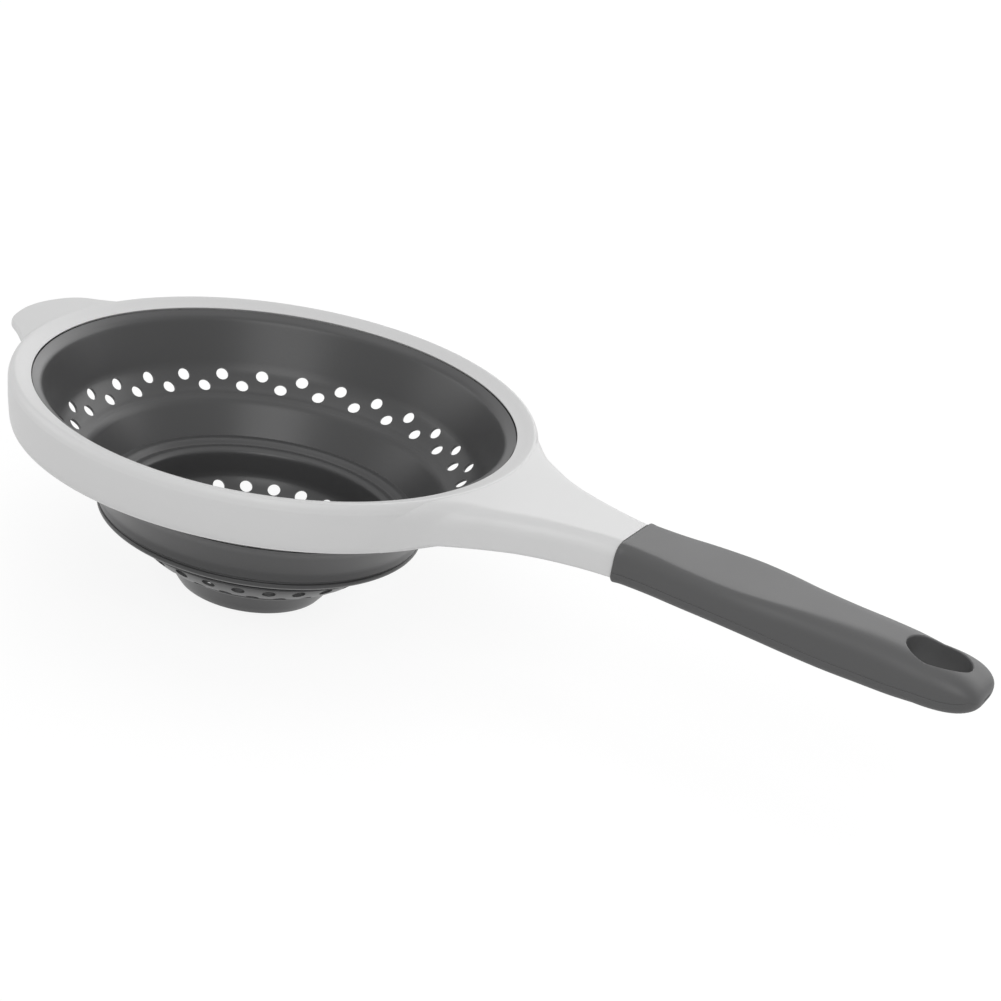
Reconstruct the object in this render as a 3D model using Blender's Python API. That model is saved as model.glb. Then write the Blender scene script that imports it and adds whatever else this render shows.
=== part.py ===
"""A collapsible silicone colander: a rigid ring frame with a long gripped handle and a folding bowl.

The frame runs +X along the handle and +Z up out of the bowl. The origin is at the centre of the
foot's flat underside. Lengths are in metres and angles in degrees.
"""

import math

import bmesh
import bpy
from mathutils import Matrix, Vector

# Gaps and cutters
CLEARANCE = 0.0003
CUT_OVERRUN = 0.004
MERGE_DISTANCE = 0.00001

# Ring frame: the opening, the crowned top face and the skirt that hangs from it
OPENING_RADIUS = 0.0880
RING_WIDTH = 0.0080
RING_CROWN_RISE = 0.0025
RING_LIP = 0.0012
RING_SKIRT_DEPTH = 0.0166
RING_SKIRT_DRAFT = 0.0019
RING_WALL = 0.0022

# Bowl, from the top down: a draw is how far a stage comes in, a drop how far it goes down
SHOULDER_SINK = 0.0007
SHOULDER_DRAW = 0.0043
SHOULDER_DROP = 0.0037
RIM_WALL_DRAW = 0.0059
RIM_WALL_DROP = 0.0161
UPPER_BAND_DRAW = 0.0106
UPPER_BAND_DROP = 0.0081
LEDGE_DRAW = 0.0019
LEDGE_DROP = 0.0018
MIDDLE_WALL_DRAW = 0.0069
MIDDLE_WALL_DROP = 0.0114
FOLD_RING_DRAW = 0.0098
FOLD_RING_DROP = 0.0020
LOWER_WALL_DRAW = 0.0009
LOWER_WALL_DROP = 0.0098
LOWER_BAND_DRAW = 0.0148
LOWER_BAND_DROP = 0.0106
CUP_DRAW = 0.0059
CUP_DROP = 0.0090
BASE_THICKNESS = 0.0018

# Bowl thicknesses and its flange under the ring
FLANGE_THICKNESS = 0.0025
WALL_THICKNESS = 0.0020
BAND_THICKNESS = 0.0011
LOWER_WALL_THICKNESS = 0.0026
FOLD_RING_THICKNESS = 0.0026
HEM_WIDTH = 0.0024
HEM_DROP = 0.0020
BEAD_HEIGHT = 0.0011
FOOT_ROUND = 0.0022

# Drain holes
BAND_HOLE_DIAMETER = 0.0049
UPPER_ROW_COUNT = 30
UPPER_ROW_START = 0.0
LOWER_ROW_COUNT = 26
LOWER_ROW_START = 11.8
BASE_HOLE_DIAMETER = 0.0045
BASE_HOLE_PITCH = 0.0093
BASE_CIRCLE_PITCH = 0.0089

# Neck, which spreads from the handle into the ring, and the tang inside the grip
NECK_SPREAD_ANGLE = 34.0
NECK_REACH = 0.0500
NECK_HALF_WIDTH = 0.0139
NECK_DEPTH = 0.0128
NECK_WALL = 0.0024
NECK_CORNER = 0.0050
NECK_LOWER_CORNER = 0.0010
NECK_END_BLOCK = 0.0080
NECK_RIB = 0.0018
NECK_POCKET_COUNT = 4
TANG_LENGTH = 0.0930
TANG_HALF_WIDTH = 0.0095
TANG_DEPTH = 0.0085
TANG_SINK = 0.0030
TANG_CORNER = 0.0016

# Helper tab, opposite the handle
TAB_REACH = 0.0160
TAB_HALF_WIDTH = 0.0312
TAB_THICKNESS = 0.0026
TAB_EDGE_ROUND = 0.0010

# Grip and its hang hole
GRIP_LENGTH = 0.1292
GRIP_HALF_WIDTH = 0.0178
GRIP_DEPTH = 0.0166
GRIP_CORNER = 0.0060
GRIP_LOWER_CORNER = 0.0040
HANG_HOLE_END_WALL = 0.0065
HANG_HOLE_LENGTH = 0.0239
HANG_HOLE_HALF_WIDTH = 0.0097
HANG_HOLE_RIM_ROUND = 0.0005

# Facets
RING_SEGMENTS = 72
BOWL_SEGMENTS = 60
LOWER_SEGMENTS = 52
HOLE_SEGMENTS = 8
CORNER_STEPS = 3
HANG_HOLE_SEGMENTS = 24
NOSE_STEPS = 8
TAB_EDGE_STEPS = 2
SMOOTH_ANGLE = 40.0

# Outlines, as shares of the sizes that they follow
CROWN_SHARES = (
    (0.0, -0.12), (0.30, 0.26), (0.64, 0.69), (0.75, 0.79), (0.84, 0.72), (0.92, 0.36), (0.97, 0.0),
)
SKIRT_SHARES = ((0.0, 0.10), (0.10, 0.25), (0.46, 0.62), (1.0, 1.0))
SHOULDER_SHARES = ((0.0, 0.0), (0.35, 0.19), (0.67, 0.41), (0.88, 0.68), (1.0, 1.0))
BAND_SHARES = ((0.0, 0.0), (0.17, 0.30), (0.51, 0.70), (1.0, 1.0))
BAND_ROW_SHARES = (0.17, 0.51)
ROW_STAGGER_SHARE = 0.5
BEAD_SHARES = ((0.0, 0.0), (0.10, -0.45), (0.24, 0.60), (0.40, 0.40), (0.51, -0.70))
INNER_BEAD_SHARES = ((0.51, -0.70), (0.66, 0.20), (0.86, 0.30), (1.0, 0.0))
HEM_SHARES = ((0.0, 0.0), (0.06, 0.45), (0.27, 1.0), (0.86, 1.0), (1.0, 0.78), (1.0, 0.0))
CUP_BROW_SHARES = (0.28, 0.72)
CUP_CORNER_SHARES = ((0.74, 0.76), (0.94, 0.93), (1.30, 1.0))
FOOT_CORNER_SHARES = ((0.0, 1.30), (0.42, 0.32), (1.40, 0.0))
# Along the neck: share of its run, then of its spread, and its depth as a share of NECK_DEPTH
NECK_FLARE_SHARES = (
    (0.0, 1.0, 1.25), (0.08, 0.817, 1.16), (0.15, 0.67, 1.09), (0.207, 0.587, 1.06), (0.285, 0.487, 1.04),
    (0.365, 0.386, 1.03), (0.437, 0.31, 1.02), (0.506, 0.245, 1.01), (0.567, 0.202, 1.0),
    (0.63, 0.156, 1.0), (0.70, 0.114, 1.0), (0.80, 0.063, 1.0), (0.90, 0.025, 1.0), (1.0, 0.0, 1.0),
)
TAB_SHARES = (
    (1.0, 0.0), (0.975, 0.16), (0.92, 0.305), (0.85, 0.423), (0.765, 0.532), (0.648, 0.628),
    (0.519, 0.702), (0.358, 0.76), (0.21, 0.814), (0.062, 0.875), (-0.074, 0.936), (-0.216, 1.0),
    (-0.50, 1.12),
)
# Along the grip up to its nose: share of its length, then of its half width, and of its depth at
# top and bottom
GRIP_SHARES = (
    (0.0, 0.825, 0.02, 0.855), (0.006, 0.838, -0.008, 0.872), (0.03, 0.815, -0.008, 0.863),
    (0.11, 0.857, 0.0, 0.839), (0.20, 0.95, 0.0, 0.813), (0.31, 0.998, 0.0, 0.811),
    (0.41, 0.946, 0.0, 0.871), (0.50, 0.858, 0.0, 0.952), (0.60, 0.811, 0.0, 1.0),
    (0.70, 0.796, 0.0, 1.0), (0.78, 0.797, 0.03, 0.99), (0.845, 0.792, 0.10, 0.957),
)
# The nose's end in the same three shares, and how squarely each of them rounds off towards it
NOSE_TIP_SHARES = (0.17, 0.64, 0.68)
NOSE_SQUARENESS = (3.6, 2.5, 2.3)
HANG_HOLE_FRONT_SHARE = 0.43
CORNER_WIDTH_SHARE = 0.85
CORNER_HEIGHT_SHARE = 0.46
FOLD_EDGE_SHARE = 0.55

# Worked-out places
RING_OUTER_RADIUS = OPENING_RADIUS + RING_WIDTH
STAGE_DROPS = (
    SHOULDER_SINK, SHOULDER_DROP, RIM_WALL_DROP, UPPER_BAND_DROP, LEDGE_DROP, MIDDLE_WALL_DROP,
    FOLD_RING_DROP, LOWER_WALL_DROP, LOWER_BAND_DROP, CUP_DROP, BASE_THICKNESS,
)
OPENING_Z = sum(STAGE_DROPS)
NECK_END_X = RING_OUTER_RADIUS + NECK_REACH
GRIP_START_X = NECK_END_X + CLEARANCE
GRIP_END_X = GRIP_START_X + GRIP_LENGTH


def clear_scene():
    """Take away whatever the scene holds at the start."""
    for item in list(bpy.data.objects):
        bpy.data.objects.remove(item, do_unlink=True)


def plastic(name, colour, roughness):
    """One opaque moulded material."""
    material = bpy.data.materials.new(name)
    material.use_nodes = True
    shader = material.node_tree.nodes["Principled BSDF"]
    shader.inputs["Base Color"].default_value = (*colour, 1.0)
    shader.inputs["Roughness"].default_value = roughness
    shader.inputs["Metallic"].default_value = 0.0
    return material


def add_object(name, bm, material=None):
    """Turn a bmesh into a named object, shaded smooth across its shallow edges."""
    mesh = bpy.data.meshes.new(name)
    bmesh.ops.recalc_face_normals(bm, faces=bm.faces)
    bm.to_mesh(mesh)
    bm.free()
    mesh.shade_smooth()
    mesh.set_sharp_from_angle(angle=math.radians(SMOOTH_ANGLE))
    item = bpy.data.objects.new(name, mesh)
    bpy.context.collection.objects.link(item)
    if material is not None:
        mesh.materials.append(material)
    return item


def hide_cutter(item):
    """Mark an object as a cutter, which is no part of the model."""
    item.hide_render = True
    item.display_type = "WIRE"
    return item


def boolean(item, other, operation):
    """Cut other from item, or join it on."""
    step = item.modifiers.new(other.name, "BOOLEAN")
    step.operation = operation
    step.solver = "EXACT"
    step.object = other


def turned(name, outline, segments, material=None):
    """Spin a closed outline of (radius, height) points about the bowl's axis."""
    bm = bmesh.new()
    corners = [bm.verts.new((radius, 0.0, height)) for radius, height in outline]
    edges = []
    for index, corner in enumerate(corners):
        following = corners[(index + 1) % len(corners)]
        if corner.co.x > MERGE_DISTANCE or following.co.x > MERGE_DISTANCE:
            edges.append(bm.edges.new((corner, following)))
    bmesh.ops.spin(
        bm, geom=corners + edges, cent=(0, 0, 0), axis=(0, 0, 1),
        angle=math.radians(360), steps=segments, use_merge=True,
    )
    bmesh.ops.remove_doubles(bm, verts=bm.verts, dist=MERGE_DISTANCE)
    return add_object(name, bm, material)


def lofted(name, stations, corners, steps, material=None):
    """Skin rounded rectangles along X. A station is (x, half width, top, bottom)."""
    bm = bmesh.new()
    loops = []
    for x, half_width, top, bottom in stations:
        section = rounded_section(half_width, top, bottom, corners, steps)
        loops.append([bm.verts.new((x, y, z)) for y, z in section])
    for front, back in zip(loops[:-1], loops[1:]):
        for index in range(len(front)):
            following = (index + 1) % len(front)
            bm.faces.new((front[index], front[following], back[following], back[index]))
    bm.faces.new(loops[0])
    bm.faces.new(reversed(loops[-1]))
    return add_object(name, bm, material)


def rounded_section(half_width, top, bottom, corners, steps):
    """Points round a rectangle in the YZ plane, its upper and lower corners rounded."""
    widest, tallest = half_width * CORNER_WIDTH_SHARE, (top - bottom) * CORNER_HEIGHT_SHARE
    upper, lower = corners
    quarters = (
        (upper, top, 1, 0.0), (upper, top, -1, 90.0),
        (lower, bottom, -1, 180.0), (lower, bottom, 1, 270.0),
    )
    points = []
    for corner, level, side, start in quarters:
        reach, rise = min(corner, widest), min(corner, tallest)
        y = side * (half_width - reach)
        z = level - rise if level == top else level + rise
        for step in range(steps + 1):
            angle = math.radians(start + 90.0 * step / steps)
            points.append((y + reach * math.cos(angle), z + rise * math.sin(angle)))
    return points


def along(start, end, shares):
    """Points between two (radius, height) points, by shares of the draw and of the drop."""
    return [
        (start[0] + (end[0] - start[0]) * draw, start[1] + (end[1] - start[1]) * drop)
        for draw, drop in shares
    ]


def outer_path(path, thickness):
    """The outside of a wall whose inside is path, cut level with the path at both its ends."""
    lines = []
    for (r0, z0), (r1, z1) in zip(path[:-1], path[1:]):
        length = math.hypot(r1 - r0, z1 - z0)
        outward = ((z0 - z1) / length * thickness, (r1 - r0) / length * thickness)
        lines.append(((r0 + outward[0], z0 + outward[1]), (r1 - r0, z1 - z0)))
    points = [at_height(lines[0], path[0][1])]
    for first, second in zip(lines[:-1], lines[1:]):
        points.append(meeting(first, second))
    points.append(at_height(lines[-1], path[-1][1]))
    return points


def line_through(start, end):
    """A line in the section, as a point and a direction."""
    return start, (end[0] - start[0], end[1] - start[1])


def at_height(line, height):
    """Where a line in the section crosses a height."""
    (r, z), (dr, dz) = line
    return r + dr * (height - z) / dz, height


def meeting(first, second):
    """Where two lines in the section meet."""
    (r0, z0), (dr0, dz0) = first
    (r1, z1), (dr1, dz1) = second
    cross = dr0 * dz1 - dz0 * dr1
    share = ((r1 - r0) * dz1 - (z1 - z0) * dr1) / cross
    return r0 + dr0 * share, z0 + dz0 * share


def bowl_creases():
    """The creases of the bowl's inner face, as (radius, height) points from the top down."""
    steps = (
        ("shoulder_top", 0.0, SHOULDER_SINK), ("shoulder_end", SHOULDER_DRAW, SHOULDER_DROP),
        ("upper_band_top", RIM_WALL_DRAW, RIM_WALL_DROP),
        ("upper_band_end", UPPER_BAND_DRAW, UPPER_BAND_DROP), ("ledge_end", LEDGE_DRAW, LEDGE_DROP),
        ("middle_wall_end", MIDDLE_WALL_DRAW, MIDDLE_WALL_DROP),
        ("fold_ring_end", FOLD_RING_DRAW, FOLD_RING_DROP),
        ("lower_band_top", LOWER_WALL_DRAW, LOWER_WALL_DROP),
        ("lower_band_end", LOWER_BAND_DRAW, LOWER_BAND_DROP), ("cup_end", CUP_DRAW, CUP_DROP),
    )
    radius = OPENING_RADIUS - CLEARANCE
    height = OPENING_Z
    creases = {}
    for name, draw, drop in steps:
        radius -= draw
        height -= drop
        creases[name] = (radius, height)
    return creases


def skirt_points(spare):
    """The outer face of the ring's skirt, top to bottom, moved out by a spare gap."""
    top = (RING_OUTER_RADIUS + spare, OPENING_Z)
    bottom = (RING_OUTER_RADIUS - RING_SKIRT_DRAFT + spare, OPENING_Z - RING_SKIRT_DEPTH)
    return along(top, bottom, SKIRT_SHARES)


def ring_frame(material):
    """The crowned ring with its hanging skirt, open below."""
    crown = [
        (OPENING_RADIUS + RING_WIDTH * across, OPENING_Z + RING_CROWN_RISE * rise)
        for across, rise in CROWN_SHARES
    ]
    bottom_radius = RING_OUTER_RADIUS - RING_SKIRT_DRAFT - RING_WALL
    underside = OPENING_Z - RING_LIP
    inside = [
        (bottom_radius, OPENING_Z - RING_SKIRT_DEPTH),
        (RING_OUTER_RADIUS - RING_WALL, underside), (OPENING_RADIUS, underside),
    ]
    return turned("ring_frame", crown + skirt_points(0.0) + inside, RING_SEGMENTS, material)


def ring_cutter():
    """The space of the ring, with the running gap, that the neck and the tab end against."""
    face = skirt_points(CLEARANCE)
    high = OPENING_Z + RING_CROWN_RISE + CUT_OVERRUN
    low = OPENING_Z - RING_SKIRT_DEPTH - CUT_OVERRUN
    top = [(0.0, high), (face[0][0], high)]
    bottom = [(face[-1][0], low), (0.0, low)]
    return hide_cutter(turned("ring_cutter", top + face + bottom, RING_SEGMENTS))


def rim_wall(creases, material):
    """The bowl's flange, its shoulder inside the opening and its steep upper wall."""
    shoulder = along(creases["shoulder_top"], creases["shoulder_end"], SHOULDER_SHARES)
    wall = [creases["shoulder_end"], creases["upper_band_top"]]
    outside = outer_path(wall, WALL_THICKNESS)
    flange_top = OPENING_Z - RING_LIP - CLEARANCE
    flange_bottom = flange_top - FLANGE_THICKNESS
    flange_radius = skirt_inner_radius(flange_bottom) - CLEARANCE
    under_flange = at_height(line_through(outside[0], outside[1]), flange_bottom)
    outline = shoulder + [creases["upper_band_top"], outside[-1], under_flange]
    outline += [(flange_radius, flange_bottom), (flange_radius, flange_top)]
    outline += [(creases["shoulder_top"][0], flange_top)]
    return turned("bowl_rim_wall", outline, BOWL_SEGMENTS, material)


def skirt_inner_radius(height):
    """The radius of the skirt's inner face at a height."""
    drop = (OPENING_Z - RING_LIP - height) / (RING_SKIRT_DEPTH - RING_LIP)
    return RING_OUTER_RADIUS - RING_WALL - RING_SKIRT_DRAFT * drop


def band_path(top, end):
    """The inside of a fold band, a running gap short of the stiff walls at its ends."""
    path = along(top, end, BAND_SHARES)
    first = at_height(line_through(path[0], path[1]), top[1] - CLEARANCE)
    last = at_height(line_through(path[-2], path[-1]), end[1] + CLEARANCE)
    return [first] + path[1:-1] + [last]


def band_holes(name, top, end, count, start):
    """Cutters for a fold band's two staggered rows of holes, square to the band."""
    bm = bmesh.new()
    path = along(top, end, BAND_SHARES)
    pitch = 360.0 / count
    for row, share in enumerate(BAND_ROW_SHARES):
        radius = top[0] + (end[0] - top[0]) * share
        height, tilt = band_point(path, radius)
        for index in range(count):
            angle = math.radians(start + pitch * (index + ROW_STAGGER_SHARE * (row + 1)))
            turn = Matrix.Rotation(angle, 4, "Z") @ Matrix.Translation((radius, 0.0, height))
            bmesh.ops.create_cone(
                bm, cap_ends=True, segments=HOLE_SEGMENTS, radius1=BAND_HOLE_DIAMETER / 2,
                radius2=BAND_HOLE_DIAMETER / 2, depth=BAND_THICKNESS + CUT_OVERRUN,
                matrix=turn @ Matrix.Rotation(-tilt, 4, "Y"),
            )
    return hide_cutter(add_object(name, bm))


def band_point(path, radius):
    """The height of a band's inner face at a radius, and its mean slope there."""
    for (r0, z0), (r1, z1) in zip(path[:-1], path[1:]):
        if r1 <= radius:
            break
    height = z0 + (z1 - z0) * (radius - r0) / (r1 - r0)
    (top_radius, top_height), (end_radius, end_height) = path[0], path[-1]
    return height, math.atan2(top_height - end_height, top_radius - end_radius)


def fold_band(name, top, end, holes, segments, material):
    """A thin perforated cone between two creases, which turns inside out as the bowl folds."""
    path = band_path(top, end)
    outside = outer_path(path, BAND_THICKNESS)
    band = turned(name, path + outside[::-1], segments, material)
    boolean(band, holes, "DIFFERENCE")
    return band


def middle_wall(creases, material):
    """The ledge and the steep wall below the upper band, down to the fold ring's bead and hem."""
    ring_top, ring_end = creases["middle_wall_end"], creases["fold_ring_end"]
    wall = [creases["upper_band_end"], creases["ledge_end"], ring_top]
    bead = bead_points(ring_top, ring_end, BEAD_SHARES)
    split_radius = bead[-1][0] + CLEARANCE / 2
    bead[-1] = (split_radius, bead[-1][1])
    underside = ring_end[1] - FOLD_RING_THICKNESS
    outside = outer_path(wall, WALL_THICKNESS)
    hem_radius = ring_top[0] + WALL_THICKNESS * FOLD_EDGE_SHARE
    hem = [(hem_radius - HEM_WIDTH * inwards, underside - HEM_DROP * down) for inwards, down in HEM_SHARES]
    outline = wall + bead[1:] + [(split_radius, underside)] + hem[::-1] + outside[::-1]
    return turned("bowl_middle_wall", outline, BOWL_SEGMENTS, material)


def bead_points(start, end, shares):
    """Points over the fold ring: shares of its draw, and of the bead height above its slope."""
    points = along(start, end, [(across, across) for across, _ in shares])
    return [(r, z + BEAD_HEIGHT * rise) for (r, z), (_, rise) in zip(points, shares)]


def lower_wall(creases, material):
    """The fold ring's inner bead and the short steep wall under it."""
    ring_top, ring_end = creases["middle_wall_end"], creases["fold_ring_end"]
    bead = bead_points(ring_top, ring_end, INNER_BEAD_SHARES)
    split_radius = bead[0][0] - CLEARANCE / 2
    bead[0] = (split_radius, bead[0][1])
    underside = ring_end[1] - FOLD_RING_THICKNESS
    wall = [ring_end, creases["lower_band_top"]]
    outside = outer_path(wall, LOWER_WALL_THICKNESS)
    face_top = at_height(line_through(outside[1], outside[0]), underside)
    outline = bead + [creases["lower_band_top"], outside[1], face_top]
    outline += [(split_radius, underside)]
    return turned("bowl_lower_wall", outline, LOWER_SEGMENTS, material)


def foot_cup(creases, material):
    """The cup below the lower band, with the flat foot and its drain holes."""
    top, end = creases["lower_band_end"], creases["cup_end"]
    band_outside = outer_path(band_path(creases["lower_band_top"], top), BAND_THICKNESS)
    brow_width = band_outside[-1][0] - top[0]
    across, down = CUP_BROW_SHARES
    brow = (top[0] + brow_width * across, top[1] - WALL_THICKNESS * down)
    inside = [top] + along(top, end, CUP_CORNER_SHARES) + [(0.0, end[1])]
    foot_radius = end[0] + WALL_THICKNESS
    foot = [(foot_radius - FOOT_ROUND * draw, FOOT_ROUND * rise) for draw, rise in FOOT_CORNER_SHARES]
    outline = inside + [(0.0, 0.0)] + foot[::-1] + [brow, (top[0] + brow_width, top[1])]
    cup = turned("bowl_foot_cup", outline, LOWER_SEGMENTS, material)
    boolean(cup, base_holes(end[0]), "DIFFERENCE")
    return cup


def base_holes(inner_radius):
    """Cutters for the drain holes of the foot, on as many circles as its inner face has room for."""
    bm = bmesh.new()
    circles = int((inner_radius - BASE_HOLE_DIAMETER / 2) / BASE_CIRCLE_PITCH)
    for circle in range(1, circles + 1):
        radius = BASE_CIRCLE_PITCH * circle
        count = int(math.tau * radius / BASE_HOLE_PITCH)
        for index in range(count):
            turn = Matrix.Rotation(math.radians(360.0 * index / count), 4, "Z")
            place = turn @ Matrix.Translation((radius, 0.0, BASE_THICKNESS / 2))
            bmesh.ops.create_cone(
                bm, cap_ends=True, segments=HOLE_SEGMENTS, radius1=BASE_HOLE_DIAMETER / 2,
                radius2=BASE_HOLE_DIAMETER / 2, depth=BASE_THICKNESS + CUT_OVERRUN, matrix=place,
            )
    return hide_cutter(add_object("base_hole_cutters", bm))


def neck_width_at(x):
    """Half the neck's width at a place along the handle, from the flare's outline."""
    points = neck_outline()
    for (x0, w0), (x1, w1) in zip(points[:-1], points[1:]):
        if x <= x1:
            return w0 + (w1 - w0) * (x - x0) / (x1 - x0)
    return points[-1][1]


def neck_outline():
    """The neck's plan outline, as (x, half width) points from the ring to the grip."""
    spread = math.radians(NECK_SPREAD_ANGLE)
    root = (RING_OUTER_RADIUS * math.cos(spread), RING_OUTER_RADIUS * math.sin(spread))
    shares = [(run, 1.0 - flare) for run, flare, _ in NECK_FLARE_SHARES]
    return along(root, (NECK_END_X, NECK_HALF_WIDTH), shares)


def handle_neck(cutter, material):
    """The neck, hollow below between ribs, with the tang that the grip is moulded over."""
    top = OPENING_Z
    bottoms = [top - NECK_DEPTH * deep for _, _, deep in NECK_FLARE_SHARES]
    stations = [(x, width, top, low) for (x, width), low in zip(neck_outline(), bottoms)]
    neck = lofted("handle_neck", stations, (NECK_CORNER, NECK_LOWER_CORNER), CORNER_STEPS, material)
    boolean(neck, neck_pockets(top - NECK_WALL, min(bottoms) - CUT_OVERRUN), "DIFFERENCE")
    boolean(neck, cutter, "DIFFERENCE")
    boolean(neck, tang("tang_joiner", 0.0), "UNION")
    return neck


def neck_pockets(top, bottom):
    """Cutters for the pockets under the neck, with a rib left between each two."""
    bm = bmesh.new()
    start = RING_OUTER_RADIUS + CLEARANCE + NECK_WALL
    end = NECK_END_X - NECK_END_BLOCK
    pitch = (end - start + NECK_RIB) / NECK_POCKET_COUNT
    for index in range(NECK_POCKET_COUNT):
        near = start + pitch * index
        far = near + pitch - NECK_RIB
        corners = []
        for x, side in ((near, 1), (near, -1), (far, -1), (far, 1)):
            width = neck_width_at(x) - NECK_WALL
            corners.append((x, side * width))
        low = [bm.verts.new((x, y, bottom)) for x, y in corners]
        high = [bm.verts.new((x, y, top)) for x, y in corners]
        for first in range(len(low)):
            second = (first + 1) % len(low)
            bm.faces.new((low[first], low[second], high[second], high[first]))
        bm.faces.new(low)
        bm.faces.new(reversed(high))
    return hide_cutter(add_object("neck_pocket_cutters", bm))


def tang(name, spare):
    """The bar inside the grip, or the space for it with a spare gap all round."""
    top = OPENING_Z - TANG_SINK + spare
    bottom = OPENING_Z - TANG_SINK - TANG_DEPTH - spare
    width = TANG_HALF_WIDTH + spare
    stations = [
        (NECK_END_X - NECK_END_BLOCK / 2, width, top, bottom),
        (NECK_END_X + TANG_LENGTH + spare, width, top, bottom),
    ]
    return hide_cutter(lofted(name, stations, (TANG_CORNER, TANG_CORNER), 1))


def helper_tab(cutter, material):
    """The flat tab on the ring's far side, to hold or to rest on a pan's rim."""
    half = [
        (-(RING_OUTER_RADIUS + TAB_REACH * out), TAB_HALF_WIDTH * wide)
        for out, wide in TAB_SHARES
    ]
    outline = half + [(x, -y) for x, y in reversed(half[1:])]
    bm = bmesh.new()
    base = bm.faces.new([bm.verts.new((x, y, OPENING_Z - TAB_THICKNESS)) for x, y in outline])
    raised = bmesh.ops.extrude_face_region(bm, geom=[base])
    lifted = [item for item in raised["geom"] if isinstance(item, bmesh.types.BMVert)]
    bmesh.ops.translate(bm, verts=lifted, vec=Vector((0.0, 0.0, TAB_THICKNESS)))
    rims = [edge for edge in bm.edges if is_level(edge)]
    bmesh.ops.bevel(bm, geom=rims, offset=TAB_EDGE_ROUND, segments=TAB_EDGE_STEPS, affect="EDGES")
    tab = add_object("helper_tab", bm, material)
    boolean(tab, cutter, "DIFFERENCE")
    return tab


def is_level(edge):
    """Whether a mesh edge lies level."""
    first, second = edge.verts
    return abs(first.co.z - second.co.z) < MERGE_DISTANCE


def hang_hole_outline(spare):
    """The egg-shaped hang hole in plan, widest towards the ring, grown by a spare size."""
    end_x = GRIP_END_X - HANG_HOLE_END_WALL
    front = HANG_HOLE_LENGTH * HANG_HOLE_FRONT_SHARE
    centre_x = end_x - HANG_HOLE_LENGTH + front
    points = []
    for step in range(HANG_HOLE_SEGMENTS):
        angle = math.radians(360.0 * step / HANG_HOLE_SEGMENTS)
        reach = front if math.cos(angle) < 0 else HANG_HOLE_LENGTH - front
        x = centre_x + (reach + spare) * math.cos(angle)
        y = (HANG_HOLE_HALF_WIDTH + spare) * math.sin(angle)
        points.append((x, y))
    return points


def hang_hole_cutter():
    """A flared cutter for the hang hole, which leaves its rims rounded."""
    top, bottom = grip_faces_at(GRIP_END_X - HANG_HOLE_END_WALL - HANG_HOLE_LENGTH / 2)
    rim = HANG_HOLE_RIM_ROUND
    levels = (
        (bottom - CUT_OVERRUN, 0.0), (bottom, 0.0), (bottom + rim, -rim),
        (top - rim, -rim), (top, 0.0), (top + CUT_OVERRUN, 0.0),
    )
    bm = bmesh.new()
    loops = []
    for height, spare in levels:
        loops.append([bm.verts.new((x, y, height)) for x, y in hang_hole_outline(spare)])
    for lower, upper in zip(loops[:-1], loops[1:]):
        for index in range(HANG_HOLE_SEGMENTS):
            following = (index + 1) % HANG_HOLE_SEGMENTS
            bm.faces.new((lower[index], lower[following], upper[following], upper[index]))
    bm.faces.new(reversed(loops[0]))
    bm.faces.new(loops[-1])
    return hide_cutter(add_object("hang_hole_cutter", bm))


def grip_stations():
    """The grip's sections along X, as (x, half width, top, bottom)."""
    stations = []
    for run, wide, high, low in list(GRIP_SHARES) + nose_shares():
        x = GRIP_START_X + GRIP_LENGTH * run
        top = OPENING_Z - GRIP_DEPTH * high
        stations.append((x, GRIP_HALF_WIDTH * wide, top, OPENING_Z - GRIP_DEPTH * low))
    return stations


def nose_shares():
    """Rows that carry GRIP_SHARES on to the nose's tip, each share rounding off along a curve."""
    start_run, *starts = GRIP_SHARES[-1]
    rows = []
    for step in range(1, NOSE_STEPS + 1):
        along_nose = math.sin(math.radians(90.0 * step / NOSE_STEPS))
        row = [start_run + (1.0 - start_run) * along_nose]
        for start, tip, squareness in zip(starts, NOSE_TIP_SHARES, NOSE_SQUARENESS):
            left = (1.0 - along_nose ** squareness) ** (1.0 / squareness)
            row.append(tip + (start - tip) * left)
        rows.append(tuple(row))
    return rows


def grip_faces_at(x):
    """The heights of the grip's top and bottom at a place along the handle."""
    stations = grip_stations()
    for (x0, _, top0, bottom0), (x1, _, top1, bottom1) in zip(stations[:-1], stations[1:]):
        if x <= x1:
            break
    share = (x - x0) / (x1 - x0)
    return top0 + (top1 - top0) * share, bottom0 + (bottom1 - bottom0) * share


def grip(material):
    """The soft sleeve over the tang, rounded at its end, with the hang hole through it."""
    stations = grip_stations()
    sleeve = lofted("grip", stations, (GRIP_CORNER, GRIP_LOWER_CORNER), CORNER_STEPS, material)
    boolean(sleeve, tang("tang_space", CLEARANCE), "DIFFERENCE")
    boolean(sleeve, hang_hole_cutter(), "DIFFERENCE")
    return sleeve


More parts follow.
